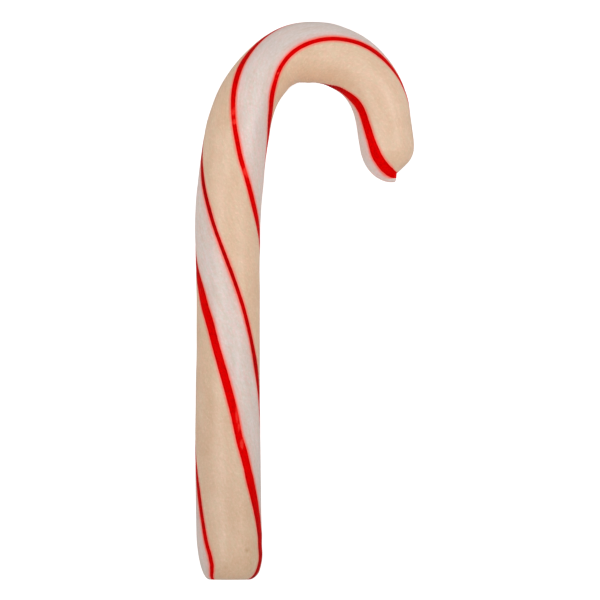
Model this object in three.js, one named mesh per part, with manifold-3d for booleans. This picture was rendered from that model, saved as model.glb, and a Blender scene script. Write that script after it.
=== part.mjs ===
// A hand-pulled candy cane: one solid stick of boiled sugar with a bent hook, lying on a table.
//
// Millimetres. +Y runs along the straight shaft from the cut foot to the hook, the hook bends
// over to +X, and +Z is up. The origin is the middle of the bounding box at the table, z = 0.

import * as THREE from 'three';
import { mergeVertices } from 'three/addons/utils/BufferGeometryUtils.js';
import Module from 'manifold-3d';

// ---- Driving dimensions -------------------------------------------------------------------

// Length of the stick along its middle, from the foot to the tip of the hook.
const STICK_LENGTH = 185.3;

// Direction of the stick as [distance from the foot, degrees from +X]: an almost straight shaft,
// a lean to the right, a bend that is tightest at the crown, and a tail that hangs down.
const HEADINGS = [
  [0, 90], [5, 91.3], [30, 90.4], [60, 89.7], [84.5, 90.8], [96.5, 84.3], [107.5, 82.6],
  [116.5, 74.2], [125, 56], [133, 35.4], [141.5, 1.1], [150.5, -26], [159.5, -55.4],
  [167.5, -75.7], [175.5, -80.7], [STICK_LENGTH, -81],
];

// Half thickness of the hand-rolled stick as [distance from the foot, half width]. It swells
// below the hook and is drawn thinner on both sides of the crown.
const HALF_WIDTHS = [
  [0, 8.2], [30, 8.22], [46, 8.06], [68, 7.92], [82, 8.12], [96, 8.24], [112, 8.08],
  [118, 7.72], [130, 7.12], [142, 7.6], [150, 7.6], [158, 7.25], [168, 7.05],
  [STICK_LENGTH, 6.95],
];

// The foot is cut square. Its rim is rounded over, longer on the side away from the hook.
// FACE is the share of the half width that stays flat.
const FOOT_FACE_INNER = 0.59;
const FOOT_FACE_OUTER = 0.62;
const FOOT_ROUND_INNER = 6;
const FOOT_ROUND_OUTER = 12;

// The tip is round towards the shaft, and pinched off by a slanted bevel on the other side.
// The bevel leaves a small nub at the very end.
const TIP_INNER_HALF_WIDTH = 7.3;
const TIP_INNER_ROUND = 9.3;
const TIP_INNER_BLEND = [166, 174];
const TIP_OUTER_HALF_WIDTH = 6.5;
const TIP_OUTER_BLEND = [162, 174];
const TIP_BEVEL_START = 1.45;
const TIP_BEVEL_SLOPE = 1.42;
const NUB_SLOPE = 0.38;
const NUB_HALF_WIDTH = 1.2;
const NUB_END_HALF_WIDTH = 0.35;

// How much of the round underside the table has flattened.
const FLAT_DEPTH = 0.25;

// Fineness of the faceted solid: sides round the stick, and rings of vertices along it.
const SIDES = 40;
const FOOT_RINGS = 10;
const SHAFT_END = 84;
const SHAFT_RING_GAP = 4;
const TAIL_END = 172;
const HOOK_RING_GAP = 2;
const TIP_RINGS = 16;
const WALK_STEP = 0.1;

// ---- Small curve helpers ------------------------------------------------------------------

/** Monotone cubic curve through [x, y] knots, held level beyond both ends. */
function smoothCurve(knots) {
  const widths = knots.slice(1).map((knot, i) => knot[0] - knots[i][0]);
  const rises = knots.slice(1).map((knot, i) => (knot[1] - knots[i][1]) / widths[i]);
  const slopes = knots.map((_, i) => {
    if (i === 0) return rises[0];
    if (i === rises.length) return rises[i - 1];
    if (rises[i - 1] * rises[i] <= 0) return 0;
    const before = 2 * widths[i] + widths[i - 1];
    const after = widths[i] + 2 * widths[i - 1];
    return (before + after) / (before / rises[i - 1] + after / rises[i]);
  });
  return (x) => {
    const inside = THREE.MathUtils.clamp(x, knots[0][0], knots.at(-1)[0]);
    let i = 0;
    while (i < widths.length - 1 && inside > knots[i + 1][0]) i += 1;
    const t = (inside - knots[i][0]) / widths[i];
    const u = 1 - t;
    return knots[i][1] * (1 + 2 * t) * u * u
      + slopes[i] * widths[i] * t * u * u
      + knots[i + 1][1] * (1 + 2 * u) * t * t
      - slopes[i + 1] * widths[i] * t * t * u;
  };
}

/** Rises from 0 to 1 along a quarter circle as x goes from 0 to 1. */
function quarterRound(x) {
  const left = 1 - THREE.MathUtils.clamp(x, 0, 1);
  return Math.sqrt(1 - left * left);
}

const headingAt = smoothCurve(HEADINGS);
const halfWidthAt = smoothCurve(HALF_WIDTHS);

// ---- The stick's section ------------------------------------------------------------------

/** Half width on the side that faces the hook's opening. */
function innerHalfWidth(s) {
  const toTip = STICK_LENGTH - s;
  const foot = FOOT_FACE_INNER + (1 - FOOT_FACE_INNER) * quarterRound(s / FOOT_ROUND_INNER);
  const tip = TIP_INNER_HALF_WIDTH * quarterRound(toTip / TIP_INNER_ROUND);
  const blend = THREE.MathUtils.smoothstep(s, ...TIP_INNER_BLEND);
  const width = THREE.MathUtils.lerp(halfWidthAt(s) * foot, tip, blend);
  return Math.max(width, NUB_END_HALF_WIDTH);
}

/** Half width on the outside of the bend, with the bevel and the nub at the tip. */
function outerHalfWidth(s) {
  const toTip = STICK_LENGTH - s;
  const foot = FOOT_FACE_OUTER + (1 - FOOT_FACE_OUTER) * quarterRound(s / FOOT_ROUND_OUTER);
  const ramp = (TIP_BEVEL_SLOPE * (toTip - TIP_BEVEL_START)) / TIP_OUTER_HALF_WIDTH;
  const bevel = (TIP_OUTER_HALF_WIDTH * ramp) / (1 + ramp ** 4) ** 0.25;
  const nub = Math.min(NUB_SLOPE * toTip, NUB_HALF_WIDTH);
  const blend = THREE.MathUtils.smoothstep(s, ...TIP_OUTER_BLEND);
  const width = THREE.MathUtils.lerp(halfWidthAt(s) * foot, Math.max(bevel, nub), blend);
  return Math.max(width, NUB_END_HALF_WIDTH);
}

// ---- The stick's route --------------------------------------------------------------------

/** Distances from the foot at which a ring of vertices stands, closest at both ends. */
function ringDistances() {
  const eased = (i, count) => 1 - Math.cos((Math.PI * i) / (2 * count));
  const distances = [];
  for (let i = 0; i < FOOT_RINGS; i += 1) {
    distances.push(FOOT_ROUND_OUTER * eased(i, FOOT_RINGS));
  }
  for (let s = FOOT_ROUND_OUTER; s < SHAFT_END; s += SHAFT_RING_GAP) distances.push(s);
  for (let s = SHAFT_END; s < TAIL_END; s += HOOK_RING_GAP) distances.push(s);
  for (let i = TIP_RINGS; i >= 0; i -= 1) {
    distances.push(STICK_LENGTH - (STICK_LENGTH - TAIL_END) * eased(i, TIP_RINGS));
  }
  return distances;
}

/** Middle of the stick and its heading at each ring, found by walking along the headings. */
function walkAlong(distances) {
  const radiansAt = (s) => THREE.MathUtils.degToRad(headingAt(s));
  let walked = 0;
  let x = 0;
  let y = 0;
  return distances.map((s) => {
    const steps = Math.ceil((s - walked) / WALK_STEP);
    const step = steps > 0 ? (s - walked) / steps : 0;
    for (let i = 0; i < steps; i += 1) {
      const heading = radiansAt(walked + (i + 0.5) * step);
      x += Math.cos(heading) * step;
      y += Math.sin(heading) * step;
    }
    walked = s;
    return { s, x, y, heading: radiansAt(s) };
  });
}

// ---- The solid ----------------------------------------------------------------------------

/** A closed cylinder of unit size, bent along the route and swelled to the section. */
function roundStick() {
  const rings = walkAlong(ringDistances());
  const last = rings.length - 1;
  const geometry = new THREE.CylinderGeometry(1, 1, 1, SIDES, last);
  const place = geometry.attributes.position;
  for (let i = 0; i < place.count; i += 1) {
    const ring = rings[Math.round((place.getY(i) + 0.5) * last)];
    const inner = innerHalfWidth(ring.s);
    const outer = outerHalfWidth(ring.s);
    const sideways = place.getX(i) * (place.getX(i) > 0 ? inner : outer);
    const upwards = place.getZ(i) * (inner + outer) / 2;
    place.setXYZ(
      i,
      ring.x + Math.sin(ring.heading) * sideways,
      ring.y - Math.cos(ring.heading) * sideways,
      halfWidthAt(ring.s) - FLAT_DEPTH + upwards,
    );
  }
  return geometry;
}

/** A block that fills the space below the table top, z = 0, wider than the cane reaches. */
function belowTable() {
  const side = 4 * STICK_LENGTH;
  const depth = 20;
  const geometry = new THREE.BoxGeometry(side, side, depth);
  geometry.translate(0, 0, -depth / 2);
  return geometry;
}

const wasm = await Module();
wasm.setup();

function toManifold(geometry) {
  const bare = geometry.clone();
  bare.deleteAttribute('normal');
  bare.deleteAttribute('uv');
  const merged = mergeVertices(bare);
  return new wasm.Manifold(new wasm.Mesh({
    numProp: 3,
    vertProperties: merged.attributes.position.array,
    triVerts: new Uint32Array(merged.index.array),
  }));
}

function toGeometry(manifold) {
  const mesh = manifold.getMesh();
  const geometry = new THREE.BufferGeometry();
  geometry.setAttribute('position', new THREE.BufferAttribute(mesh.vertProperties, mesh.numProp));
  geometry.setIndex(new THREE.BufferAttribute(mesh.triVerts, 1));
  return geometry;
}

/** The stick with its flattened underside, centred over the origin. */
function candyCaneGeometry() {
  const geometry = toGeometry(toManifold(roundStick()).subtract(toManifold(belowTable())));
  geometry.computeBoundingBox();
  const middle = geometry.boundingBox.getCenter(new THREE.Vector3());
  geometry.translate(-middle.x, -middle.y, 0);
  geometry.computeVertexNormals();
  return geometry;
}

// ---- Assembly -----------------------------------------------------------------------------

const pulledSugar = new THREE.MeshStandardMaterial({
  name: 'pulled_sugar',
  color: 0xe2cbb2,
  roughness: 0.42,
  metalness: 0,
});

const candyCane = new THREE.Mesh(candyCaneGeometry(), pulledSugar);
candyCane.name = 'candy_cane';

const part = new THREE.Group();
part.add(candyCane);

export default part;
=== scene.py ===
# %% [markdown]
# # A candy cane, made in the order a sweet maker works
#
# A hand-made candy cane starts as a warm rope of boiled sugar. Thick sticks of beige and of white
# sugar are laid side by side with red sheets between them, pulled thin, and rolled round. The rope
# is twisted, so that the edges of the sheets run round it as red lines, then cut, and one end is
# bent over on the table. This script goes the same way: a straight rope, the twist with its colours,
# small marks of the hand, and last the bend. Working on the straight rope first is what keeps it
# simple, because there every place on the sugar is just a distance from the foot and an angle.
#
# The first step loads the fixed frame, which the finished cane has to fill.

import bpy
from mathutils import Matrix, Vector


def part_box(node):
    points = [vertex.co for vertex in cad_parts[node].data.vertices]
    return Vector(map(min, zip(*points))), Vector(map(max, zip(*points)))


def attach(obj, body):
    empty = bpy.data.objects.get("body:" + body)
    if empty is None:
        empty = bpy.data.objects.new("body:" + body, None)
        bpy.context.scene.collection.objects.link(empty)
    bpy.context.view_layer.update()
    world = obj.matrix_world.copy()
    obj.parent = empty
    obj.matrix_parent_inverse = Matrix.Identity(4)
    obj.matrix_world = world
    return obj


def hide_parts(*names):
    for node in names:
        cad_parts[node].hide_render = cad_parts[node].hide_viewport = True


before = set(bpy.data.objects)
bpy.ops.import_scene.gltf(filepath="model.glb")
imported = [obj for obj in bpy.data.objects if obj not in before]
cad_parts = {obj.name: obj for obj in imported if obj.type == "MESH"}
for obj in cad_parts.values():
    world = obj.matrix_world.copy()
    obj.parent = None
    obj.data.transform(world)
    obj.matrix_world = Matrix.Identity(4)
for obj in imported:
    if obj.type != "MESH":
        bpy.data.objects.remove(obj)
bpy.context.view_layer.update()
node_low, node_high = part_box("candy_cane")
node_size = [round((high - low) * 1000, 2) for low, high in zip(node_low, node_high)]
print("the cane's solid is", node_size, "mm in size")

# %% [markdown]
# ## The driving sizes
#
# These are the sizes of the real stick in millimetres, the same ones that its solid was made from.
# `s` always means the distance from the cut foot, measured along the middle of the stick. The
# headings say which way the middle of the stick runs at some distances, and the half widths say
# how thick the hand-rolled stick is there. Everything else is worked out from them.

# %% Sizes of the stick
import math

import bmesh
import bpy
import numpy as np
from mathutils import Matrix, Vector, noise

MM = 0.001
STICK_LENGTH = 185.3

# [distance from the foot, degrees from +X]
HEADINGS = [
    (0, 90), (5, 91.3), (30, 90.4), (60, 89.7), (84.5, 90.8), (96.5, 84.3), (107.5, 82.6),
    (116.5, 74.2), (125, 56), (133, 35.4), (141.5, 1.1), (150.5, -26), (159.5, -55.4),
    (167.5, -75.7), (175.5, -80.7), (STICK_LENGTH, -81),
]
# [distance from the foot, half of the thickness]
HALF_WIDTHS = [
    (0, 8.2), (30, 8.22), (46, 8.06), (68, 7.92), (82, 8.12), (96, 8.24), (112, 8.08), (118, 7.72),
    (130, 7.12), (142, 7.6), (150, 7.6), (158, 7.25), (168, 7.05), (STICK_LENGTH, 6.95),
]

# %% [markdown]
# A few knots describe a hand-made line well, as long as the curve through them is smooth and never
# swings past a knot. An ordinary spline would swing, so the slopes at the knots are averaged the
# harmonic way, which leaves a flat spot wherever the line turns back.

# %% A smooth curve through knots
def smooth_curve(knots):
    """Gives a function: the smooth curve through (x, y) knots, held level beyond both ends."""
    x, y = np.array(knots, dtype=float).T
    gaps = np.diff(x)
    rises = np.diff(y) / gaps
    slopes = np.zeros(len(x))
    slopes[0] = rises[0]
    slopes[-1] = rises[-1]
    for i in range(1, len(x) - 1):
        if rises[i - 1] * rises[i] > 0:
            before = 2 * gaps[i] + gaps[i - 1]
            after = gaps[i] + 2 * gaps[i - 1]
            slopes[i] = (before + after) / (before / rises[i - 1] + after / rises[i])

    def curve(at):
        at = np.clip(at, x[0], x[-1])
        i = np.clip(np.searchsorted(x, at, side="right") - 1, 0, len(gaps) - 1)
        t = (at - x[i]) / gaps[i]
        u = 1 - t
        return (
            y[i] * (1 + 2 * t) * u**2
            + slopes[i] * gaps[i] * t * u**2
            + y[i + 1] * (1 + 2 * u) * t**2
            - slopes[i + 1] * gaps[i] * t**2 * u
        )

    return curve


heading_at = smooth_curve(HEADINGS)
half_width_at = smooth_curve(HALF_WIDTHS)
print("half way up, the stick is", round(2 * float(half_width_at(STICK_LENGTH / 2)), 2), "mm thick")

# %% [markdown]
# ## The section of the stick
#
# The stick isn't quite round at its ends. The foot was chopped square and its rim sagged while it was
# soft, further on the outside of the cane than on the inside, which faces the hook's opening. The tip
# was pinched off: it is round on the inside, and on the outside it has a slanted bevel that runs out
# in a small nub. So each side gets a half width of its own, and the two share one helper, a quarter
# circle, because sagging sugar always rounds off that way.

# %% Half widths of both sides
FOOT_FACE_INNER = 0.59
FOOT_FACE_OUTER = 0.62
FOOT_ROUND_INNER = 6
FOOT_ROUND_OUTER = 12
TIP_INNER_HALF_WIDTH = 7.3
TIP_INNER_ROUND = 9.3
TIP_INNER_BLEND = (166, 174)
TIP_OUTER_HALF_WIDTH = 6.5
TIP_OUTER_BLEND = (162, 174)
TIP_BEVEL_START = 1.45
TIP_BEVEL_SLOPE = 1.42
TIP_BEVEL_SHARPNESS = 4
NUB_BLUNTNESS = 0.55
NUB_HALF_WIDTH = 1.2
NUB_END_HALF_WIDTH = 0.12


def quarter_round(x):
    """Rises from 0 to 1 along a quarter circle as x goes from 0 to 1."""
    return np.sqrt(1 - (1 - np.clip(x, 0, 1)) ** 2)


def smooth_step(x, low, high):
    """Rises smoothly from 0 to 1 as x goes from low to high."""
    t = np.clip((x - low) / (high - low), 0, 1)
    return t * t * (3 - 2 * t)


def blend(a, b, share):
    """Goes from a to b as share goes from 0 to 1."""
    return a + (b - a) * share


def inner_half_width(s):
    """Half width on the side that faces the hook's opening."""
    foot = blend(FOOT_FACE_INNER, 1, quarter_round(s / FOOT_ROUND_INNER))
    tip = TIP_INNER_HALF_WIDTH * quarter_round((STICK_LENGTH - s) / TIP_INNER_ROUND)
    width = blend(half_width_at(s) * foot, tip, smooth_step(s, *TIP_INNER_BLEND))
    return np.maximum(width, NUB_END_HALF_WIDTH)


def outer_half_width(s):
    """Half width on the outside of the bend, with the bevel and the nub at the tip."""
    to_tip = np.maximum(STICK_LENGTH - s, 0)
    foot = blend(FOOT_FACE_OUTER, 1, quarter_round(s / FOOT_ROUND_OUTER))
    ramp = TIP_BEVEL_SLOPE * (to_tip - TIP_BEVEL_START) / TIP_OUTER_HALF_WIDTH
    levelled = ramp / (1 + ramp**TIP_BEVEL_SHARPNESS) ** (1 / TIP_BEVEL_SHARPNESS)
    bevel = TIP_OUTER_HALF_WIDTH * levelled
    nub = np.minimum(NUB_BLUNTNESS * np.sqrt(to_tip), NUB_HALF_WIDTH)
    width = blend(half_width_at(s) * foot, np.maximum(bevel, nub), smooth_step(s, *TIP_OUTER_BLEND))
    return np.maximum(width, NUB_END_HALF_WIDTH)


print("cut face is", round(float(inner_half_width(0) + outer_half_width(0)), 2), "mm across")

# %% [markdown]
# ## The straight rope
#
# A long round rope could be a curve with a bevel, but then no place on its skin has a number that the
# colours can use. A mesh can carry such numbers. `create_cone` with equal radii makes an open drum
# whose radius is 1 and whose height is the number of rings, so each ring ends up at a whole number.
# `subdivide_edges` cuts the long side edges, and the drum is laid down along +Y, with +Z up and +X
# towards the side where the hook will open. The rings stand closer together in the bend, which needs
# them for its wrinkles, and closest at both ends, where the rim and the tip curve most.

# %% Make the drum
SIDES = 150
FOOT_RINGS = 44
BEND_START = 118
BEND_END = 162
TAIL_END = 172
SHAFT_RING_GAP = 0.42
BEND_RING_GAP = 0.23
TIP_RINGS = 58


def ring_distances():
    """Distances from the foot at which a ring of vertices stands."""
    foot = FOOT_ROUND_OUTER * (1 - np.cos(np.linspace(0, math.pi / 2, FOOT_RINGS)))
    shaft = np.arange(FOOT_ROUND_OUTER + SHAFT_RING_GAP, BEND_START, SHAFT_RING_GAP)
    bend = np.arange(BEND_START, BEND_END, BEND_RING_GAP)
    tail = np.arange(BEND_END, TAIL_END, SHAFT_RING_GAP)
    tip_turn = np.linspace(math.pi / 2, 0, TIP_RINGS)
    tip = STICK_LENGTH - (STICK_LENGTH - TAIL_END) * (1 - np.cos(tip_turn))
    return np.concatenate([foot, shaft, bend, tail, tip])


distances = ring_distances()
last_ring = len(distances) - 1

rope = bmesh.new()
bmesh.ops.create_cone(rope, cap_ends=False, segments=SIDES, radius1=1, radius2=1, depth=last_ring)
long_edges = [e for e in rope.edges if abs(e.verts[0].co.z - e.verts[1].co.z) > 0.5]
bmesh.ops.subdivide_edges(rope, edges=long_edges, cuts=last_ring - 1, use_grid_fill=True)
bmesh.ops.translate(rope, verts=rope.verts, vec=(0, 0, last_ring / 2))
lay_down = Matrix.Rotation(math.radians(-90), 3, "X")
bmesh.ops.rotate(rope, verts=rope.verts, cent=(0, 0, 0), matrix=lay_down)
for vert in rope.verts:
    vert.co.y = distances[round(vert.co.y)]
print("open drum:", len(rope.faces), "faces in", last_ring + 1, "rings")

# %% [markdown]
# The two ends are still open. Extruding the rim's edges and shrinking the new ring towards the middle
# closes them with even rings of faces, which the cut face needs for its own rough surface. The last
# ring is merged to one point, so no hole is left. With the skin closed, the normals can be turned
# outwards once and for all, because laying the rope into its bend doesn't mirror it. Two points are
# taken as level when they are within a HAIR of each other.

# %% Close both ends
FOOT_FACE_RINGS = 14
TIP_FACE_RINGS = 2
HAIR = 1e-4


def close_end(rope, at, rings):
    """Fills the open end at the distance `at` with rings of faces that shrink to one point."""
    rim = [e for e in rope.edges if e.is_boundary and abs(e.verts[0].co.y - at) < HAIR]
    for ring in range(1, rings + 1):
        made = bmesh.ops.extrude_edge_only(rope, edges=rim)["geom"]
        verts = [g for g in made if isinstance(g, bmesh.types.BMVert)]
        new = set(verts)
        rim = [g for g in made if isinstance(g, bmesh.types.BMEdge) and new.issuperset(g.verts)]
        shrink = (rings - ring) / (rings - ring + 1)
        if ring < rings:
            bmesh.ops.scale(rope, verts=verts, vec=(shrink, 1, shrink))
        else:
            bmesh.ops.pointmerge(rope, verts=verts, merge_co=(0, at, 0))


close_end(rope, 0, FOOT_FACE_RINGS)
close_end(rope, distances[-1], TIP_FACE_RINGS)
bmesh.ops.recalc_face_normals(rope, faces=rope.faces)
open_edges = sum(not e.is_manifold for e in rope.edges)
print("closed rope:", len(rope.faces), "faces,", open_edges, "open edges")

cane_mesh = bpy.data.meshes.new("candy_cane_sugar")
rope.to_mesh(cane_mesh)
rope.free()

# %% [markdown]
# ## Numbers for every point of the skin
#
# From here on the rope is handled as columns of numbers, one row for each vertex. That is far faster
# than a loop, and it reads like the maker's own description. `reach` is how far out a point lies, from
# 0 in the middle of an end to 1 on the skin. `angle` is where it lies round the stick in degrees: 0
# on top, 90 on the side that faces the opening and -90 on the outside of the bend.

# %% Read the straight rope
RIM_REACH = 0.999

flat = np.empty(3 * len(cane_mesh.vertices))
cane_mesh.vertices.foreach_get("co", flat)
across, s, up = flat.reshape(-1, 3).T
reach = np.hypot(across, up)
angle = np.degrees(np.arctan2(across, up))
skin_radius = (inner_half_width(s) + outer_half_width(s)) / 2
on_cut = (s < HAIR) & (reach < RIM_REACH)
cut_depth = np.where(on_cut, (1 - reach) * skin_radius, 0)
print(len(s), "points,", int(on_cut.sum()), "of them on the cut face")

# %% [markdown]
# ## The red lines
#
# Four red sheets reach the skin, so there are four red lines. The maker twisted the rope by hand, and
# the twist is uneven: almost straight at the foot, over two degrees a millimetre in the middle, and
# faster where the hook was bent. A helix of one pitch would miss all of that. Instead each line has
# its angle at a few distances. One line is about twice as wide as the others, and it spreads over the
# pinched tip. The lines are listed in the order in which they come round the stick, and the sugar
# between them is beige, white, beige and white.

# %% Angles and widths of the red lines
WIDE_LINE = 1
# [distance from the foot, degrees round the stick]
LINE_ANGLES = [
    [
        (0, -51.3), (2.5, -40.3), (4, -37.6), (6, -38.7), (8.5, -43.3), (14, -51.9), (24, -69.2),
        (53, -143.6), (91.5, -237.1), (109, -274.4), (119.5, -294.6), (125.5, -316.6),
        (129, -330.1), (132, -343), (139, -367.7), (145, -387.1), (150.5, -402.7), (155, -415.7),
        (160.5, -431.2), (169, -454), (STICK_LENGTH, -482.1),
    ],
    [
        (0, 67), (5.5, 74.4), (9, 74.2), (12.5, 70.2), (18.5, 57), (25, 42.6), (32, 28.6),
        (35.5, 21.1), (42.5, 10.4), (52.5, -9.1), (57.5, -20.2), (65, -37.4), (68, -46.8),
        (72.5, -59.1), (81, -90), (92.5, -126), (134, -225.8), (146, -261.8), (153.5, -288.4),
        (157, -294.5), (160, -302.3), (162, -307.5), (165.5, -313.7), (169.5, -317.9),
        (176.5, -327.9), (178, -330.2), (179, -332.3), (180, -335.6), (181, -339.3), (182, -345.2),
        (182.5, -352.5), (183, -370), (183.5, -401.5), (184.3, -412), (184.5, -458),
        (STICK_LENGTH, -460),
    ],
    [
        (0, 145), (33, 102.6), (67.5, 30.6), (73, 16.7), (79.5, -0.1), (92.5, -35.2), (99, -57.2),
        (130.5, -157.5), (162.5, -224.9), (STICK_LENGTH, -262.1),
    ],
    [
        (0, 244), (57, 159.7), (81.5, 95.7), (90.5, 63.8), (100, 31.9), (106, 12.8), (111, 0.2),
        (117.5, -18.1), (123.5, -39.3), (127.5, -56.3), (130.5, -67), (134, -79), (145.5, -111),
        (166.5, -160.9), (STICK_LENGTH, -200.2),
    ],
]
# [distance from the foot, width in degrees round the stick]
LINE_WIDTHS = [
    [
        (0, 10.7), (8, 9.3), (14, 9.8), (19, 11.6), (24, 13.5), (50, 13.5), (110, 14.5),
        (118.5, 18.4), (121, 16.4), (124, 14.8), (127, 13), (129.5, 11), (136, 9.2), (146, 9),
        (152, 11.3), (157, 14.8), (STICK_LENGTH, 15),
    ],
    [
        (0, 17), (4, 20), (9, 24), (13, 23), (18, 20.4), (25, 19.4), (28, 16.6), (32.5, 16.8),
        (37, 14), (46, 15.4), (60, 16.4), (68.5, 21.4), (76, 23), (120, 23), (152, 23.5), (160, 26),
        (166, 21), (174, 19.8), (178, 24.5), (180, 27), (181, 29.6), (182, 35.2), (182.5, 43.4),
        (183, 73.4), (183.5, 127.6), (184.3, 114.6), (184.5, 13.5), (STICK_LENGTH, 12),
    ],
    [
        (0, 11), (52, 14.8), (57, 11.5), (60, 9), (68, 8), (76, 7.2), (88, 7.2), (96, 9), (102, 10.8),
        (STICK_LENGTH, 11),
    ],
    [
        (0, 11), (84, 16), (90, 14.6), (93, 13.6), (96.5, 11.7), (102, 9.6), (112, 8.8),
        (118, 9.8), (123, 13), (127, 16.4), (133, 16.4), (STICK_LENGTH, 11),
    ],
]
# [distance from the foot, share of the deeper red: the line's own tone, plus painted shade on flanks]
LINE_REDS_AND_FLANK_SHADE = [
    [
        (0, 0.2), (10, 0.19), (14, 0.31), (26, 0.49), (110, 0.4), (118, 0.46), (126, 0.19),
        (130, 0.09), (150, 0.26), (155, 0.36), (162, 0.41), (STICK_LENGTH, 0.46),
    ],
    [
        (0, 0.69), (6, 0.58), (14, 0.38), (22, 0.21), (30, 0), (58, 0.09), (64, 0.16), (70, 0.18),
        (74, 0.36), (80, 0.61), (146, 0.94), (150, 0.78), (154, 0.6), (158, 0.37), (166, 0.21),
        (174, 0.06), (STICK_LENGTH, 0.15),
    ],
    [
        (0, 0.6), (54, 0.56), (58, 0.5), (64, 0.4), (70, 0.3), (78, 0.37), (82, 0.37), (88, 0.45),
        (94, 0.57), (98, 0.66), (STICK_LENGTH, 0.69),
    ],
    [
        (0, 0.54), (84, 0.54), (88, 0.44), (92, 0.32), (98, 0.14), (110, 0.04), (122, 0.14),
        (126, 0.3), (130, 0.5), (134, 0.52), (STICK_LENGTH, 0.5),
    ],
]


def turn_between(a, b):
    """Signed turn from b to a in degrees, the short way round."""
    return (a - b + 180) % 360 - 180


lines = np.array([smooth_curve(knots)(s) for knots in LINE_ANGLES])
widths = np.array([smooth_curve(knots)(s) for knots in LINE_WIDTHS])
twist_start = LINE_ANGLES[WIDE_LINE][0][1]
twist_end = LINE_ANGLES[WIDE_LINE][-1][1]
print("twist in all:", round(twist_start - twist_end), "degrees")

# %% [markdown]
# The shader needs to know two things at each point: how deep it lies inside a red line, and in which
# colour band. Both are kept as distances in millimetres with a sign, not as yes or no, because a
# distance can be smoothed and made ragged later, while a mask on vertices would show steps. A third
# number is the share of deeper red in the nearest line: partly the line's own deeper red, and partly
# painted shade where the line runs down the stick's flanks. On the cut face the red sheets are seen
# from their ends, so they thin out towards the middle, and they lean over a little, as pulled
# sheets do.

# %% Measure red lines and colour bands
SHEET_DEPTH = 3.4
SHEET_LEAN = 16

sheet_share = np.clip(cut_depth / SHEET_DEPTH, 0, 1)
leaning_angle = angle + SHEET_LEAN * sheet_share**2
mm_per_degree = math.pi / 180 * skin_radius * reach
away_from_lines = np.abs(turn_between(leaning_angle, lines)) * mm_per_degree
half_lines = widths / 2 * math.pi / 180 * skin_radius * (1 - sheet_share)
depths = half_lines - away_from_lines
red_depth = depths.max(axis=0)
line_reds_and_flank_shade = np.array([smooth_curve(knots)(s) for knots in LINE_REDS_AND_FLANK_SHADE])
red_tone_and_flank_shade = np.take_along_axis(line_reds_and_flank_shade, depths.argmax(axis=0)[None], axis=0)[0]
to_nearest_line = away_from_lines.min(axis=0)

turn_from_first = (leaning_angle - lines[0]) % 360
first_beige = turn_from_first < lines[1] - lines[0]
second_beige = (turn_from_first > lines[2] - lines[0]) & (turn_from_first < lines[3] - lines[0])
band_depth = np.where(first_beige | second_beige, to_nearest_line, -to_nearest_line)
print("red skin:", round(100 * float((red_depth > 0).mean()), 1), "% of the points")
print("beige:", round(100 * float((band_depth > 0).mean()), 1), "% of the points")

# %% [markdown]
# Pulling also leaves a fine grain in the sugar, long streaks that follow the twist. For those, each
# point gets its place in the rope as it was before the twist, in millimetres.

# %% Undo the twist for the grain
twist = lines.mean(axis=0)
grain_angle = np.radians(angle - twist)
grain_x = np.sin(grain_angle) * reach * skin_radius
grain_z = np.cos(grain_angle) * reach * skin_radius
grain = np.stack([grain_x, s + cut_depth, grain_z], axis=1)
print("grain runs over", round(float(np.ptp(grain[:, 1])), 1), "mm")

# %% [markdown]
# ## Marks of the hand
#
# Rolled sugar is never an exact tube. Large slow swellings come from the palm, faint ridges from
# pulling, and a shallow groove runs along each red line where the sticks were pressed together. These
# are true changes of shape, so they are made in the mesh: `swell` moves the skin outwards, in
# millimetres. The noise is Blender's own and gives the same result each time.

# %% Swellings, ridges and grooves
PALM_SIZE = 13
PALM_STRETCH = 1.6
PALM_SWELL = 0.07
THUMB_SIZE = 4.5
THUMB_STRETCH = 1.3
THUMB_SWELL = 0.025
RIDGE_SIZE = 1.7
RIDGE_STRETCH = 14
RIDGE_SWELL = 0.028
GROOVE_DEPTH = 0.045
GROOVE_REACH = 0.45
SEED_STEP = (17.3, 5.1, 9.7)


def noise_over(points, size, seed, stretch=1):
    """Blender's smooth noise at rows of points: lumps of `size`, longer along the stick by `stretch`."""
    scale = Vector((1 / size, 1 / size / stretch, 1 / size))
    offset = Vector([seed * part for part in SEED_STEP])
    return np.array([noise.noise(Vector(p) * scale + offset) for p in points])


rolled = np.stack([across * skin_radius, s, up * skin_radius], axis=1)
palm = noise_over(rolled, PALM_SIZE, seed=1, stretch=PALM_STRETCH)
thumb = noise_over(rolled, THUMB_SIZE, seed=2, stretch=THUMB_STRETCH)
ridges = noise_over(grain, RIDGE_SIZE, seed=3, stretch=RIDGE_STRETCH)
groove = np.exp(-((red_depth / GROOVE_REACH) ** 2))
swell = PALM_SWELL * palm + THUMB_SWELL * thumb + RIDGE_SWELL * ridges - GROOVE_DEPTH * groove
print("skin moves", round(float(swell.min()), 3), "to", round(float(swell.max()), 3), "mm")

# %% [markdown]
# The fingers that bent the soft stick left their dents as well. They show best in its outline, which
# is pressed in by about a quarter of a millimetre at most and stands out beside that. Each dent is
# one row: where it is, how far it reaches along and round the stick, and its height. The helper `spot`
# gives a soft round weight, which the wrinkles and the small marks further on use too.

# %% Finger dents
# [distance from the foot, degrees round the stick, reach along it, reach round it, height]
FINGER_DENTS = [
    (1.5, 90, 1.2, 50, 0.13), (6.5, 90, 1.5, 50, 0.09), (11, 90, 1.5, 50, 0.09),
    (58, -90, 4, 40, -0.09), (78, 90, 4, 40, -0.15), (92, 90, 3, 40, 0.07), (106, 90, 3.5, 40, -0.14),
    (131.8, 90, 1.9, 45, -0.24), (135.3, 90, 2.2, 45, -0.27), (141.2, 90, 1.5, 40, 0.12),
    (145.8, -90, 2, 50, 0.18), (148, 90, 2, 40, -0.1), (166.5, -90, 2, 50, 0.12),
    (180.9, -80, 1, 60, 0.15),
]


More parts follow.
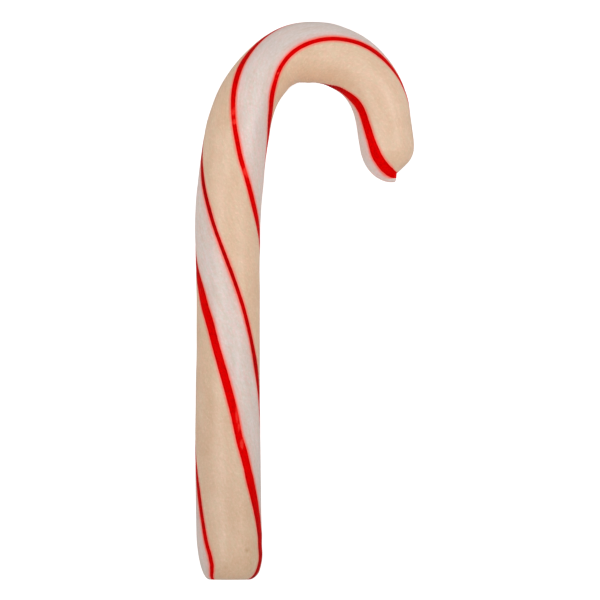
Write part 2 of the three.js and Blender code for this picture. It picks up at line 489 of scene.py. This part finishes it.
def spot(at, towards, along_reach, round_reach):
    """1 in the middle of a spot on the skin, and falling smoothly to 0 around it."""
    along = (s - at) / along_reach
    turned = turn_between(angle, towards) / round_reach
    return np.exp(-(along**2) - turned**2)


for at, towards, along_reach, round_reach, height in FINGER_DENTS:
    swell += height * spot(at, towards, along_reach, round_reach)
print(len(FINGER_DENTS), "dents, and the skin now goes in by up to", round(-float(swell.min()), 2), "mm")

# %% [markdown]
# On the inside of the bend the skin had nowhere to go, so it folded into fine wrinkles, about a
# millimetre apart and running across the stick. A cosine along the stick makes the wave, and a slow
# noise pushes it to and fro, so that no two wrinkles are alike. On the outside the skin was stretched,
# which changes only its colour, so that weight is kept for the finish.

# %% Wrinkles inside the bend
WRINKLE_MIDDLE = 144
WRINKLE_REACH = 18
WRINKLE_ANGLE = 68
WRINKLE_SPREAD = 42
WRINKLE_GAP = 1.05
WRINKLE_DEPTH = 0.055
WRINKLE_EVEN = 0.7
WRINKLE_UNEVEN = 0.8
WANDER_SIZE = 3
WANDER_TURN = 5
STRETCH_MIDDLE = 141
STRETCH_REACH = 15
STRETCH_ANGLE = -55
STRETCH_SPREAD = 65
CLEAR_WEIGHT = 0.3


def clear_points(weight):
    """How many points of the skin a mark clearly shows on."""
    return int((weight > CLEAR_WEIGHT).sum())


wander = noise_over(rolled, WANDER_SIZE, seed=4)
wrinkle_wave = np.cos(2 * math.pi * s / WRINKLE_GAP + WANDER_TURN * wander)
squeezed = spot(WRINKLE_MIDDLE, WRINKLE_ANGLE, WRINKLE_REACH, WRINKLE_SPREAD)
stretched = spot(STRETCH_MIDDLE, STRETCH_ANGLE, STRETCH_REACH, STRETCH_SPREAD)
swell += WRINKLE_DEPTH * squeezed * wrinkle_wave * (WRINKLE_EVEN + WRINKLE_UNEVEN * thumb)
print("wrinkles reach", clear_points(squeezed), "points")

# %% [markdown]
# A few small faults make this cane its own: a pit near the foot, left by a bubble that burst, a short
# nick in the first line where the bend began, and places in the lines where the red was rubbed thin.
# The nick and the thin places lie where the lamps' highlight lines cross the red, so their pale red is
# partly painted glint. `rubbed_and_glints` collects these places where the red is paler and lets the
# white below it show.

# %% A pit, a nick and thin red
PIT_AT = 7.15
PIT_ANGLE = 33.7
PIT_RADIUS = 0.48
PIT_DEPTH = 0.28
NICK_AT = 131.45
NICK_ANGLE = 19.6
NICK_SLANT = -21
NICK_HALF_LENGTH = 0.75
NICK_HALF_WIDTH = 0.24
NICK_DEPTH = 0.08
# [distance from the foot, degrees round the stick, reach along it, reach round it, strength]
# These thin places sit in the lamps' highlight lines, so their pale red is partly painted glint.
THIN_PLACES_AND_GLINTS = [
    (102.8, 24.5, 1.1, 6, 1.1), (101.6, 28.5, 0.8, 4, 0.7), (114.7, -9, 0.9, 5, 0.95),
    (117.1, -16, 1.5, 6, 0.75), (130.1, 25.5, 0.7, 4, 0.6), (41.5, 16.5, 2.8, 3.5, 1),
    (38.5, 20, 1.8, 3, 0.85), (34, 25.5, 1.5, 4, 1.05),
]

from_pit = np.hypot(s - PIT_AT, turn_between(angle, PIT_ANGLE) * mm_per_degree)
pit = np.exp(-((from_pit / PIT_RADIUS) ** 2))
swell -= PIT_DEPTH * pit

nick_along = s - NICK_AT
nick_round = turn_between(angle, NICK_ANGLE) * mm_per_degree
slant = math.radians(NICK_SLANT)
down_nick = nick_along * math.cos(slant) + nick_round * math.sin(slant)
over_nick = nick_round * math.cos(slant) - nick_along * math.sin(slant)
nick = np.exp(-((down_nick / NICK_HALF_LENGTH) ** 2) - (over_nick / NICK_HALF_WIDTH) ** 2)
swell -= NICK_DEPTH * nick

rubbed_and_glints = nick
for at, towards, along_reach, round_reach, strength in THIN_PLACES_AND_GLINTS:
    rubbed_and_glints = np.maximum(rubbed_and_glints, strength * spot(at, towards, along_reach, round_reach))
print("pit:", clear_points(pit), "points, nick:", clear_points(nick), "points")

# %% [markdown]
# The widest line has a fault of its own. For about a centimetre the red sheet slid over the white
# sugar beside it, so its thin edge lies on top there and stands up as a tiny step. The step follows
# the line's edge, which noise makes ragged, and it begins and ends abruptly.

# %% A slipped edge
SLIP_FROM = 33.6
SLIP_TO = 45.4
SLIP_FADE_IN = 2
SLIP_FADE_OUT = 1
SLIP_STEP = 0.1
SLIP_RAGGEDNESS = 0.22
SLIP_RAG_SIZE = 0.9
SLIP_RAG_STRETCH = 1.5
SLIP_INNER_EDGE = (-0.25, 0)
SLIP_OUTER_EDGE = (0.2, 0.45)

past_wide_line = turn_between(angle, lines[WIDE_LINE]) * mm_per_degree - half_lines[WIDE_LINE]
slip_begun = smooth_step(s, SLIP_FROM, SLIP_FROM + SLIP_FADE_IN)
slip_over = smooth_step(s, SLIP_TO - SLIP_FADE_OUT, SLIP_TO)
rags = noise_over(rolled, SLIP_RAG_SIZE, seed=5, stretch=SLIP_RAG_STRETCH)
ragged = past_wide_line + SLIP_RAGGEDNESS * rags
slip_width = smooth_step(ragged, *SLIP_INNER_EDGE) * (1 - smooth_step(ragged, *SLIP_OUTER_EDGE))
slip = slip_begun * (1 - slip_over) * slip_width
swell += SLIP_STEP * slip
rubbed_and_glints = np.maximum(rubbed_and_glints, slip)
print("slip:", clear_points(slip), "points")

# %% [markdown]
# The threads of air in pulled sugar aren't spread evenly either. Here and there they gather to a soft
# pale streak about a centimetre long, and leave denser and darker sugar beside it. These streaks are
# partly painted highlight and painted shade: most pale ones lie along the lamps' highlight lines, and
# the darker ones darken places that get less light. `airy_and_painted_light` adds them up, for the
# finish.

# %% Airy and dense streaks, partly painted highlight and painted shade
# [distance from the foot, degrees round the stick, reach along it, reach round it, strength]
AIRY_STREAKS_AND_PAINTED_LIGHT = [
    (4, 48, 5, 22, -0.15), (18, -30, 12, 7, 0.07), (15, 23, 3, 4, 0.12), (36, -24, 5, 8, 0.07),
    (40, 48, 4, 12, 0.08), (53, 18, 5, 4, 0.14), (79, -40, 5, 7, 0.11), (80, 25, 4, 5, 0.15),
    (104, -32, 9, 7, 0.15), (115, 27, 8, 8, 0.12), (117, 2, 5, 6, -0.09), (129, -27, 7, 9, 0.1),
    (137, -38, 7, 10, 0.07), (142, 0, 4, 7, -0.08), (161, 28, 3, 5, -0.09), (166, 68, 5, 12, -0.15),
    (169, -36, 4, 5, 0.17), (170, 15, 4, 7, -0.13), (171, -16, 5, 8, -0.1),
]

airy_and_painted_light = np.zeros(len(s))
for at, towards, along_reach, round_reach, strength in AIRY_STREAKS_AND_PAINTED_LIGHT:
    airy_and_painted_light += strength * spot(at, towards, along_reach, round_reach)
print(len(AIRY_STREAKS_AND_PAINTED_LIGHT), "streaks, from", round(float(airy_and_painted_light.min()), 2), "to", round(float(airy_and_painted_light.max()), 2))

# %% [markdown]
# The cut face was sheared while the sugar was still plastic. It is nearly flat, dished a little in the
# middle, and its surface is rough from the blade. `sink` moves a point of the face into the stick.

# %% The cut face
DISH_DEPTH = 0.28
FACE_RIM = 1.2
CUT_ROUGHNESS = 0.07
TORN_SIZE = 0.9
FINE_TORN_SIZE = 0.35
FINE_TORN_SHARE = 0.5
BLADE_MARK_SIZE = 0.8
BLADE_MARK_FLATNESS = 0.15

on_face = np.clip(cut_depth / FACE_RIM, 0, 1)
torn = noise_over(rolled, TORN_SIZE, seed=6)
torn += FINE_TORN_SHARE * noise_over(rolled, FINE_TORN_SIZE, seed=7)
blade_marks = noise_over(rolled * (1, 1, BLADE_MARK_FLATNESS), BLADE_MARK_SIZE, seed=8)
sink = on_face * (DISH_DEPTH * (1 - reach**2) + CUT_ROUGHNESS * (torn + blade_marks))
sink = np.maximum(sink, 0)
print("face sinks up to", round(float(sink.max()), 2), "mm")

# %% [markdown]
# ## The bend
#
# Now the straight rope is laid along its route. The route is walked in small steps, each in the
# heading that the stick has there, so its length comes out exactly right. Each point keeps its
# distance and its angle: sideways it moves along the table, and upwards away from it. The soft
# underside was flattened where it lay on the table, so nothing ends up below the table top, z = 0.

# %% Walk the route
WALK_STEP = 0.05
FLAT_DEPTH = 0.25

steps = round(STICK_LENGTH / WALK_STEP)
step = STICK_LENGTH / steps
middles = (np.arange(steps) + 0.5) * step
walked = np.arange(steps + 1) * step
headings = np.radians(heading_at(middles))
route_x = np.concatenate([[0], np.cumsum(np.cos(headings) * step)])
route_y = np.concatenate([[0], np.cumsum(np.sin(headings) * step)])
print("route ends at", round(float(route_x[-1]), 2), round(float(route_y[-1]), 2), "mm from the foot")


def bend(swell, sink):
    """Places of all points on the bent stick, in millimetres from the middle of the foot."""
    half = np.where(across > 0, inner_half_width(s), outer_half_width(s))
    sideways = across * (half + swell)
    upwards = up * (skin_radius + swell)
    heading = np.radians(heading_at(s))
    x = np.interp(s, walked, route_x) + np.sin(heading) * sideways + np.cos(heading) * sink
    y = np.interp(s, walked, route_y) - np.cos(heading) * sideways + np.sin(heading) * sink
    z = np.maximum(half_width_at(s) - FLAT_DEPTH + upwards, 0)
    return np.stack([x, y, z], axis=1)


# %% [markdown]
# The frame's origin is the middle of the cane's box. The plain stick, without any marks of the hand,
# tells how far the route has to shift, so that the marks can't push the cane out of its place.

# %% Lay the cane into the frame
plain = bend(0, 0)
plain_middle = (plain.min(axis=0) + plain.max(axis=0)) / 2
frame_middle = np.array((node_low + node_high) / 2) / MM
shift = frame_middle - plain_middle
shift[2] = 0
bent = bend(swell, sink) + shift
cane_mesh.vertices.foreach_set("co", (bent * MM).ravel())
cane_mesh.shade_smooth()
cane_mesh.update()
print("cane box:", bent.min(axis=0).round(2), bent.max(axis=0).round(2), "mm")

# %% [markdown]
# The numbers for the colours go with the mesh as named attributes. The shader reads them by name, and
# they stay right however the cane is turned.

# %% Store the attributes
numbers = {
    "red_depth": red_depth,
    "red_tone_and_flank_shade": red_tone_and_flank_shade,
    "band_depth": band_depth,
    "cut_depth": cut_depth,
    "squeezed": squeezed,
    "stretched": stretched,
    "pit": pit,
    "rubbed_and_glints": rubbed_and_glints,
    "airy_and_painted_light": airy_and_painted_light,
}
for name, values in numbers.items():
    layer = cane_mesh.attributes.new(name, "FLOAT", "POINT")
    layer.data.foreach_set("value", values.astype(np.float32))
grain_layer = cane_mesh.attributes.new("grain", "FLOAT_VECTOR", "POINT")
grain_layer.data.foreach_set("vector", grain.astype(np.float32).ravel())

cane = bpy.data.objects.new("candy_cane_sugar", cane_mesh)
bpy.context.scene.collection.objects.link(cane)
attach(cane, "root")
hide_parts("candy_cane")
print("attributes:", [a.name for a in cane_mesh.attributes if not a.name.startswith(".")])

# %% [markdown]
# ## Writing a finish as sums
#
# A material is a net of nodes, and a long net is hard to read. The small class below wraps one output
# of a node, so that `1 - red` or `streaks * 0.1` adds the Math node by itself. Any other node comes
# from one method, which takes its type, its settings, and what goes into its sockets.

# %% The finish writer
class Amount:
    """A number that varies over a surface: one output of a node, with Python's operators."""

    def __init__(self, finish, socket):
        self.finish = finish
        self.socket = socket

    def maths(self, operation, a, b):
        return self.finish.node("ShaderNodeMath", {"operation": operation}, {0: a, 1: b})

    def __add__(self, other):
        return self.maths("ADD", self, other)

    def __sub__(self, other):
        return self.maths("SUBTRACT", self, other)

    def __rsub__(self, other):
        return self.maths("SUBTRACT", other, self)

    def __mul__(self, other):
        return self.maths("MULTIPLY", self, other)

    __radd__ = __add__
    __rmul__ = __mul__


class Finish:
    """A material being written."""

    def __init__(self, name):
        self.material = bpy.data.materials.new(name)
        self.material.use_nodes = True
        self.tree = self.material.node_tree
        self.tree.nodes.clear()

    def node(self, kind, settings=None, inputs=None, output=0):
        """Adds a node, sets it up, fills its sockets with values or links, and gives an output."""
        node = self.tree.nodes.new(kind)
        for name, value in (settings or {}).items():
            setattr(node, name, value)
        for key, value in (inputs or {}).items():
            if isinstance(value, Amount):
                self.tree.links.new(value.socket, node.inputs[key])
            else:
                node.inputs[key].default_value = value
        return Amount(self, node.outputs[output]) if len(node.outputs) else None

    def attribute(self, name, output="Fac"):
        """A number, or with output="Vector" a place, that the mesh carries."""
        return self.node("ShaderNodeAttribute", {"attribute_name": name}, output=output)

    def noise(self, where, scale, detail=2.0, roughness=0.5):
        """Noise from about -0.5 to 0.5, with lumps of 1 / scale in the units of `where`."""
        sockets = {"Vector": where, "Scale": scale, "Detail": detail, "Roughness": roughness}
        return self.node("ShaderNodeTexNoise", None, sockets) - 0.5

    def times(self, three, factors):
        """A place or a colour with each of its three numbers multiplied by its own factor."""
        return self.node("ShaderNodeVectorMath", {"operation": "MULTIPLY"}, {0: three, 1: factors})

    def rise(self, amount, low, high):
        """0 below low, 1 above high, and smooth between them."""
        sockets = {"Value": amount, "From Min": low, "From Max": high}
        return self.node("ShaderNodeMapRange", {"interpolation_type": "SMOOTHSTEP"}, sockets)

    def mix(self, share, a, b):
        """Colour a where share is 0, and colour b where it is 1."""
        return self.node("ShaderNodeMix", {"data_type": "RGBA"}, {0: share, 6: a, 7: b}, output=2)

    def brighten(self, colour, amount):
        """A colour multiplied by a number, the same in red, green and blue."""
        return self.node("ShaderNodeVectorMath", {"operation": "SCALE"}, {0: colour, "Scale": amount})

    def show(self, shader):
        """Makes a shader the finish's surface."""
        self.node("ShaderNodeOutputMaterial", None, {"Surface": shader})


def colour(red, green, blue):
    """A colour given as on a screen, from 0 to 255, turned into the linear light that shaders use."""
    def linear(v):
        v = v / 255
        return v / 12.92 if v <= 0.04045 else ((v + 0.055) / 1.055) ** 2.4

    return (linear(red), linear(green), linear(blue), 1.0)


# %% [markdown]
# ## The sugar's finish
#
# Pulled sugar is full of tiny air bubbles drawn out to threads. It isn't clear like a boiled sweet
# but satin, and light goes a little way in before it comes back. So the finish has some subsurface
# scattering and a soft gloss. Its colours could be painted on, but they are made in layers instead, so
# that each can be changed by itself: first the sugar's own colours, then the bands, the red lines on
# top, and last the air that makes all of it paler here and darker there. Some of these layers also
# carry painted shade, painted highlight and painted glint, as noted where they are made.

# %% Sugar colours
YELLOW_BEIGE = colour(228, 203, 173)
PINK_BEIGE = colour(235, 198, 172)
DEEP_BEIGE = colour(221, 183, 151)
# The warm beige is warmer and darker: partly the squeezed sugar's colour, partly painted shade.
WARM_SHADED_BEIGE = colour(232, 184, 142)
CREAM_WHITE = colour(224, 214, 203)
PINK_WHITE = colour(236, 207, 201)
GREY_WHITE = colour(217, 202, 193)
RED = colour(249, 0, 0)
# The deeper red is the sheets' own darker red, and also the painted shade of the lines on the flanks.
DEEP_AND_SHADED_RED = colour(160, 0, 2)
BLEED = colour(255, 116, 101)
# The paler red is the colour of a thin sheet, and at the nick and the thin places also a painted glint.
SMEARED_AND_GLINT_RED = colour(252, 50, 42)
CORE_CREAM = colour(236, 220, 196)
PIT_BROWN = colour(196, 157, 118)

print("paler red at a line's edge:", [round(part, 2) for part in SMEARED_AND_GLINT_RED[:3]])

# %% [markdown]
# Every pattern is noise in the sugar's own grain, so it was twisted and bent with the stick. Patterns
# are stirred together by shares, as a maker would stir colours: coarse clouds, a middling mottle, a
# fine speckle, and streaks that run along the pull.

# %% Patterns in the sugar
sugar = Finish("pulled_sugar")
grain_place = sugar.attribute("grain", "Vector")


def pattern(fineness, along=1, detail=2, roughness=0.5):
    """Noise with lumps of 1 / fineness mm, drawn out along the pull where along is below 1."""
    return sugar.noise(sugar.times(grain_place, (1, along, 1)), fineness, detail, roughness)


patterns = {
    "clouds": pattern(0.16),
    "mottle": pattern(0.75, detail=3, roughness=0.6),
    "streaks": pattern(1.1, along=0.06, detail=4, roughness=0.6),
    "tint": pattern(1.3, along=0.6, detail=3, roughness=0.65),
    "speckle": pattern(1.7, detail=3, roughness=0.65),
    "fine_speckle": pattern(2.2, along=0.5, roughness=0.6),
    "pores": pattern(2.2, detail=3, roughness=0.6),
    "threads": pattern(2.4, along=0.05, detail=3),
}


def stir(**shares):
    """Adds up patterns, each by its share, as in stir(clouds=0.9, mottle=1)."""
    first, *others = [patterns[name] * share for name, share in shares.items()]
    return sum(others, first)


print(len(patterns), "patterns:", ", ".join(patterns))

# %% Beige and white sugar
PINK_RANGE = (-0.2, 0.2)
DEEP_BEIGE_RANGE = (-0.4, 0.6)
GREY_RANGE = (-0.3, 0.5)
SQUEEZED_WARMTH_AND_SHADE = 0.55
STRETCHED_GREY = 0.3

pinkness = sugar.rise(patterns["tint"], *PINK_RANGE)
deepness = sugar.rise(stir(clouds=0.9, mottle=1, speckle=0.3), *DEEP_BEIGE_RANGE)
pulled_beige = sugar.mix(deepness, sugar.mix(pinkness, YELLOW_BEIGE, PINK_BEIGE), DEEP_BEIGE)
# Inside the bend the beige turns warmer and darker: the warmth is the sugar's own, the darkening is
# painted shade in the hollow of the hook.
warmth_and_shade = sugar.attribute("squeezed") * (SQUEEZED_WARMTH_AND_SHADE + stir(mottle=0.8))
beige = sugar.mix(warmth_and_shade, pulled_beige, WARM_SHADED_BEIGE)
cloudy_grey = stir(clouds=0.7, mottle=0.5, streaks=0.4)
greyness = sugar.rise(cloudy_grey + sugar.attribute("stretched") * STRETCHED_GREY, *GREY_RANGE)
white = sugar.mix(greyness, sugar.mix(pinkness, CREAM_WHITE, PINK_WHITE), GREY_WHITE)
print("base colours mixed from", len(sugar.tree.nodes), "nodes")

# %% Bands and pit
BAND_EDGE = (-0.08, 0.08)
PIT_DARKENING = 0.75

in_beige = sugar.rise(sugar.attribute("band_depth"), *BAND_EDGE)
in_white = 1 - in_beige
bands = sugar.mix(in_beige, white, beige)
# The pit's colour is mixed towards brown, most in its middle.
in_pit = sugar.attribute("pit") * (PIT_DARKENING + patterns["speckle"])
pitted = sugar.mix(in_pit, bands, PIT_BROWN)
print("bands are soft over", BAND_EDGE[1] - BAND_EDGE[0], "mm")

# %% [markdown]
# All that happens near a red line goes by the distance from its edge, in millimetres and positive
# inside the red. From the outside in, the sugar is first stained pink, widely in the white and then
# strongly in both. The red itself starts thin and bright, is deepest a little further in, and has
# deeper patches; its deeper share also carries painted shade on the stick's flanks. Places where the
# red was rubbed thin are bright too, and where they lie in the lamps' highlight lines that brightness
# is painted glint.

# %% Red lines
WIDE_BLEED_REACH = (-2.4, -0.4)
WIDE_BLEED_SHARE = 0.18
BLEED_REACH = (-0.88, 0.05)
BLEED_SHARE = 0.88
RED_EDGE = (-0.07, 0.07)
THIN_EDGE_REACH = (-0.05, 0.28)
THIN_EDGE_LOSS = 0.8
RIM_REACH_IN = (0.25, 0.6)
RIM_SHARE = 0.2
PATCH_RANGE = (-0.2, 0.4)
PATCH_SHARE = 0.55
THIN_RANGE = (0.35, 0.8)
CORE_REACH = (1.6, 3.2)

depth_in_red = sugar.attribute("red_depth") + stir(mottle=0.16, speckle=0.1)
in_red = sugar.rise(depth_in_red, *RED_EDGE)
wide_bleed = sugar.rise(depth_in_red, *WIDE_BLEED_REACH) * in_white
bleed = sugar.rise(depth_in_red, *BLEED_REACH) * BLEED_SHARE + wide_bleed * WIDE_BLEED_SHARE
stained = sugar.mix(bleed, pitted, BLEED)
core = sugar.rise(sugar.attribute("cut_depth") + stir(mottle=0.8), *CORE_REACH)
with_core = sugar.mix(core, stained, CORE_CREAM)

# The deeper share is partly each line's own tone and partly painted shade on the stick's flanks.
line_red_and_flank_shade = sugar.attribute("red_tone_and_flank_shade")
red_rim = 1 - sugar.rise(depth_in_red, *RIM_REACH_IN)
red_patches = sugar.rise(stir(mottle=0.8, speckle=1.2, streaks=0.6), *PATCH_RANGE)
red_deepness_and_shade = red_patches * PATCH_SHARE + red_rim * RIM_SHARE + line_red_and_flank_shade
red_sugar_and_shade = sugar.mix(red_deepness_and_shade, RED, DEEP_AND_SHADED_RED)
thin_edge = (1 - sugar.rise(depth_in_red, *THIN_EDGE_REACH)) * (1 - line_red_and_flank_shade * THIN_EDGE_LOSS)
# The nick and the thin places are partly painted glints where the highlight lines cross the red.
thinness_and_glints = sugar.attribute("rubbed_and_glints") + thin_edge + stir(speckle=0.8)
thin_red_and_glints = sugar.rise(thinness_and_glints, *THIN_RANGE)
lined = sugar.mix(in_red, with_core, sugar.mix(thin_red_and_glints, red_sugar_and_shade, SMEARED_AND_GLINT_RED))
print("pink reaches", -WIDE_BLEED_REACH[0], "mm into the white and", -BLEED_REACH[0], "mm into the beige")

# %% [markdown]
# The air in pulled sugar is what makes it pale. Where it holds more threads of air it is lighter and
# whiter, and where it is dense it is darker and yellower. So the last step multiplies the colours by a
# tint that goes from dense to airier sugar, and the streaks from before feed it too. Besides that,
# the sugar grows a little paler towards the hook, and its colour is a little darker towards the foot.

# %% Dense and airy sugar
DENSE_TINT = (0.79, 0.72, 0.57, 1)
AIRY_TINT = (1.21, 1.28, 1.43, 1)
EVEN_AIR = 0.44
HOOK_PALENESS = 0.08
HOOK_PALENESS_FROM = 90
HOOK_PALENESS_TO = 165
FOOT_LIGHT = 0.9
FOOT_FROM = 15
FOOT_TO = 85
BUBBLE_RANGE = (0, 0.3)
BUBBLE_SHARE = 0.22
EVENNESS_OF_WHITE = 0.25
STREAK_SHARE = 0.2
MORE_STREAKS_IN_WHITE = 0.35

from_foot = sugar.node("ShaderNodeSeparateXYZ", None, {0: grain_place}, output=1)
bubbles = sugar.rise(patterns["speckle"], *BUBBLE_RANGE)
lumps = stir(mottle=0.45, speckle=0.35) + bubbles * BUBBLE_SHARE
lumps = lumps * (1 - in_white * EVENNESS_OF_WHITE)
streaky = patterns["streaks"] * (STREAK_SHARE + in_white * MORE_STREAKS_IN_WHITE)
hook_paleness = sugar.rise(from_foot, HOOK_PALENESS_FROM, HOOK_PALENESS_TO) * HOOK_PALENESS
uneven_air_and_painted_light = hook_paleness + sugar.attribute("airy_and_painted_light")
# This tint holds the real air in the sugar together with the streaks' painted highlight and painted
# shade.
air_and_painted_light = EVEN_AIR + uneven_air_and_painted_light + lumps + stir(fine_speckle=0.4) + streaky
tinted = sugar.times(lined, sugar.mix(air_and_painted_light, DENSE_TINT, AIRY_TINT))
foot_light = FOOT_LIGHT + sugar.rise(from_foot, FOOT_FROM, FOOT_TO) * (1 - FOOT_LIGHT)
sugar_colour = sugar.brighten(tinted, foot_light)
print("tint from dense", DENSE_TINT[:3], "to airy", AIRY_TINT[:3])

# %% Gloss and surface
PALE_ROUGHNESS = 0.29
CUT_FACE_MATTNESS = 0.25
PALE_SPECULAR = 0.35
PALE_SCATTERING = 0.2
RED_ROUGHNESS = 0.33
RED_SPECULAR = 0.005
RED_SCATTERING = 0.02
SCATTERING_DEPTH = 0.8
RELIEF_HEIGHT = 0.06
RELIEF_STRENGTH = 0.25

relief = stir(pores=0.5, threads=0.5)
bump_sockets = {"Strength": RELIEF_STRENGTH, "Distance": RELIEF_HEIGHT * MM, "Height": relief}
bump = sugar.node("ShaderNodeBump", None, bump_sockets)


def sugar_surface(roughness, specular, scattering):
    """A Principled surface in the sugar's colour, with its own gloss and depth."""
    return sugar.node(
        "ShaderNodeBsdfPrincipled",
        {"subsurface_method": "RANDOM_WALK"},
        {
            "Base Color": sugar_colour,
            "Roughness": roughness,
            "Normal": bump,
            "IOR": 1.5,
            "Specular IOR Level": specular,
            "Subsurface Weight": scattering,
            "Subsurface Radius": (1.0, 0.55, 0.35),
            "Subsurface Scale": SCATTERING_DEPTH * MM,
        },
    )


pale_roughness = PALE_ROUGHNESS + stir(mottle=0.03) + core * CUT_FACE_MATTNESS
red_roughness = RED_ROUGHNESS + stir(mottle=0.1)
pale_surface = sugar_surface(pale_roughness, PALE_SPECULAR, PALE_SCATTERING)
red_surface = sugar_surface(red_roughness, RED_SPECULAR, RED_SCATTERING)
sugar_shader = sugar.node("ShaderNodeMixShader", None, {0: in_red, 1: pale_surface, 2: red_surface})
sugar.show(sugar_shader)
cane_mesh.materials.append(sugar.material)
print("sugar finish:", len(sugar.tree.nodes), "nodes")

# %% [markdown]
# ## The floor
#
# The cane lies on a plain pale table. It is one large flat sheet, a little below z = 0 so that it
# doesn't flicker against the cane's flat underside, with a finish that is almost one tone: matt paper,
# faintly cloudy. Lengths of the table and of the lights are in metres, which are Blender's own unit.

# %% Table
TABLE_SIZE = 12.0
TABLE_DROP = 0.00002
TABLE_CELLS = 8
TABLE_GLOW = 0.88
PAPER_CLOUD_FINENESS = 14
PALE_PAPER = colour(164, 164, 163)
GREYER_PAPER = colour(161, 161, 161)

table_shape = bmesh.new()
bmesh.ops.create_grid(
    table_shape, x_segments=TABLE_CELLS, y_segments=TABLE_CELLS, size=TABLE_SIZE / 2
)
bmesh.ops.translate(table_shape, verts=table_shape.verts, vec=(0, 0, -TABLE_DROP))
table_mesh = bpy.data.meshes.new("table")
table_shape.to_mesh(table_mesh)
table_shape.free()
table = bpy.data.objects.new("table", table_mesh)
bpy.context.scene.collection.objects.link(table)
table.visible_glossy = False

paper = Finish("pale_paper")
paper_place = paper.node("ShaderNodeTexCoord", output="Object")
paper_cloud = paper.noise(paper_place, PAPER_CLOUD_FINENESS)
paper_colour = paper.mix(paper_cloud + 0.5, PALE_PAPER, GREYER_PAPER)
paper.show(
    paper.node(
        "ShaderNodeBsdfPrincipled",
        None,
        {
            "Base Color": paper_colour,
            "Roughness": 0.9,
            "Specular IOR Level": 0.1,
            "Emission Color": (1, 1, 1, 1),
            "Emission Strength": TABLE_GLOW,
        },
    )
)
table_mesh.materials.append(paper.material)
print("table", TABLE_SIZE, "m square")

# %% [markdown]
# ## Soft studio light
#
# A round shiny stick shows each lamp as a bright line, so the lamps have to be long and weak. Two wide
# soft boxes, left and right above the cane, give two quiet broad lines on either side of its top. A
# narrow strip beside each of them draws a finer line within the broad one: the left strip reaches over
# the shaft only, the right one over the hook. A large square box overhead gives most of the light, and
# the pale sky fills in the flanks. A light's strength is given as brightness and turned into watts with
# the box's area, so that a change of size doesn't change the look.

# %% Sky, soft boxes and top light
SKY_BRIGHTNESS = 0.3
TOP_PLACE = (0.05, 0.12, 0.62)
TOP_SIZE = 0.7
TOP_BRIGHTNESS = 0.93
# [name, degrees of lean towards +X, distance, shift towards +Y, width, length, brightness]
LONG_LIGHTS = [
    ("soft_box_right", 46, 0.75, 0.02, 0.25, 0.45, 1.4),
    ("soft_box_left", -34, 0.75, 0.02, 0.25, 0.45, 3.2),
    ("strip_right", 44, 0.6, 0.145, 0.05, 0.35, 10.5),
    ("strip_left", -26, 0.6, -0.16, 0.05, 0.35, 6.0),
]

world = bpy.data.worlds.new("pale_sky")
world.use_nodes = True
world.node_tree.nodes["Background"].inputs["Color"].default_value = (1, 1, 1, 1)
world.node_tree.nodes["Background"].inputs["Strength"].default_value = SKY_BRIGHTNESS
bpy.context.scene.world = world


def hang_light(name, place, width, length, brightness):
    """Hangs a flat light box, aimed at the origin. Brightness is what its face shows."""
    light = bpy.data.lights.new(name, "AREA")
    light.shape = "RECTANGLE"
    light.size = width
    light.size_y = length
    light.energy = brightness * math.pi * width * length
    box = bpy.data.objects.new(name, light)
    box.location = place
    box.rotation_euler = Vector(place).to_track_quat("Z", "Y").to_euler()
    box.visible_camera = False
    bpy.context.scene.collection.objects.link(box)


for name, lean, distance, forward, width, length, brightness in LONG_LIGHTS:
    across_x = distance * math.sin(math.radians(lean))
    height = distance * math.cos(math.radians(lean))
    hang_light(name, (across_x, forward, height), width, length, brightness)
hang_light("top_light", TOP_PLACE, TOP_SIZE, TOP_SIZE, TOP_BRIGHTNESS)
print("lights:", len(bpy.data.lights))

# %% [markdown]
# ## The camera
#
# The cane is seen from straight above, from four metres away through a very long lens, so that the
# stick shows almost no perspective. The lens follows from how much of the table the picture takes in
# at the height of the stick's middle. These sizes are in millimetres again. The plain Standard view
# shows the sugar's colours as they are.

# %% Camera
VIEW_WIDTH = 150.56
VIEW_MIDDLE = (-1.126, 0.164)
STICK_MIDDLE_HEIGHT = 8
CAMERA_DISTANCE = 4000
CLEAR_FROM = 50

camera_data = bpy.data.cameras.new("camera")
camera_data.lens = camera_data.sensor_width * CAMERA_DISTANCE / VIEW_WIDTH
camera_data.clip_start = CLEAR_FROM * MM
camera = bpy.data.objects.new("camera", camera_data)
camera_height = STICK_MIDDLE_HEIGHT + CAMERA_DISTANCE
camera.location = (VIEW_MIDDLE[0] * MM, VIEW_MIDDLE[1] * MM, camera_height * MM)
bpy.context.scene.collection.objects.link(camera)
bpy.context.scene.camera = camera
bpy.context.scene.view_settings.view_transform = "Standard"
print("lens", round(camera_data.lens, 1), "mm")
